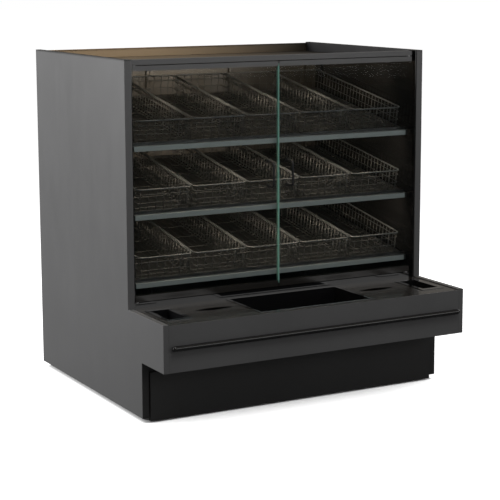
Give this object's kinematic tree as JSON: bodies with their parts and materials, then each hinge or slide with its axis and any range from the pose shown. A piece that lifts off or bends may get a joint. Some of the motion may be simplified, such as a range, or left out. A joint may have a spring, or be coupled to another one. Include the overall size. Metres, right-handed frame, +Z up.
{
  "type": "bakery display case",
  "caption": "Self-service bakery display case with glass swing doors, sloping shelves of wire baskets, and a low front deck with a bin, tissue slots and tong wells.",
  "frame": {"origin": "on the floor, at the middle of the footprint's bounding box", "axes": "+Z up, the doors and deck face -Y, +X to the right seen from the front"},
  "size_m": [1.3, 1.192, 1.321],
  "materials": {
    "charcoal_board": "satin charcoal laminate on board",
    "charcoal_paint": "satin charcoal powder coat",
    "black_gloss_paint": "glossy black enamel",
    "shelf_paint": "satin black powder coat",
    "basket_wire": "dark powder-coated wire",
    "frame_paint": "matt black paint",
    "price_rail_plastic": "blue-grey satin",
    "door_glass": "clear, polished green edges",
    "handle_paint": "satin black",
    "zinc_steel": "zinc plated",
    "lamp_aluminium": "satin anodised",
    "lamp_lens": "milky, lit warm white",
    "driver_case": "grey",
    "black_plastic": "fine grained black"
  },
  "bodies": {
    "case": {"back_liner": "black_gloss_paint", "back_panel": "charcoal_paint", "base_frame": "frame_paint", "basket_lower_1": "basket_wire", "basket_lower_2": "basket_wire", "basket_lower_3": "basket_wire", "basket_lower_4": "basket_wire", "basket_lower_5": "basket_wire", "basket_middle_1": "basket_wire", "basket_middle_2": "basket_wire", "basket_middle_3": "basket_wire", "basket_middle_4": "basket_wire", "basket_middle_5": "basket_wire", "basket_upper_1": "basket_wire", "basket_upper_2": "basket_wire", "basket_upper_3": "basket_wire", "basket_upper_4": "basket_wire", "basket_upper_5": "basket_wire", "bumper_bolts": "zinc_steel", "bumper_rail": "charcoal_paint", "cabinet_floor": "black_gloss_paint", "deck_bottom": "charcoal_paint", "deck_front": "charcoal_paint", "deck_top": "black_gloss_paint", "door_pivot_pins": "zinc_steel", "header_rail": "charcoal_paint", "kick_plate": "charcoal_paint", "led_driver": "driver_case", "levelling_feet": "zinc_steel", "light_bars": "lamp_aluminium", "light_lenses": "lamp_lens", "panel_screws": "zinc_steel", "power_gland": "black_plastic", "price_rails": "price_rail_plastic", "shelf_brackets": "shelf_paint", "shelf_lower": "shelf_paint", "shelf_middle": "shelf_paint", "shelf_standards": "shelf_paint", "shelf_upper": "shelf_paint", "side_liner_left": "charcoal_paint", "side_liner_right": "charcoal_paint", "side_panel_left": "charcoal_board", "side_panel_right": "charcoal_board", "sill_rail": "charcoal_paint", "switch_body": "black_plastic", "tissue_trays": "black_gloss_paint", "tong_pans": "black_gloss_paint", "top_panel": "charcoal_paint"},
    "door_left": {"door_glass_left": "door_glass", "door_top_rail_left": "charcoal_paint", "door_bottom_rail_left": "charcoal_paint", "door_handle_left": "handle_paint"},
    "door_right": {"door_glass_right": "door_glass", "door_top_rail_right": "charcoal_paint", "door_bottom_rail_right": "charcoal_paint", "door_handle_right": "handle_paint"},
    "cover_left": {"tissue_cover_left": "black_gloss_paint"},
    "cover_right": {"tissue_cover_right": "black_gloss_paint"},
    "bin": {"centre_bin": "black_gloss_paint"},
    "rocker": {"switch_rocker": "black_plastic"}
  },
  "joints": [
    {"name": "door_left_hinge", "type": "hinge", "parent": "case", "child": "door_left", "pos_m": [-0.601, -0.245, 0.425], "axis": [0, 0, -1], "range_deg": [0, 95]},
    {"name": "door_right_hinge", "type": "hinge", "parent": "case", "child": "door_right", "pos_m": [0.601, -0.245, 0.425], "axis": [0, 0, 1], "range_deg": [0, 95]},
    {"name": "cover_left_lift", "type": "slide", "parent": "case", "child": "cover_left", "axis": [0, 0, 1], "range_m": [0, 0.15]},
    {"name": "cover_right_lift", "type": "slide", "parent": "case", "child": "cover_right", "axis": [0, 0, 1], "range_m": [0, 0.15]},
    {"name": "bin_lift", "type": "slide", "parent": "case", "child": "bin", "axis": [0, 0, 1], "range_m": [0, 0.2]},
    {"name": "rocker_tilt", "type": "hinge", "parent": "case", "child": "rocker", "pos_m": [0.525, 0.566, 0.15], "axis": [1, 0, 0], "range_deg": [-20, 0]}
  ]
}
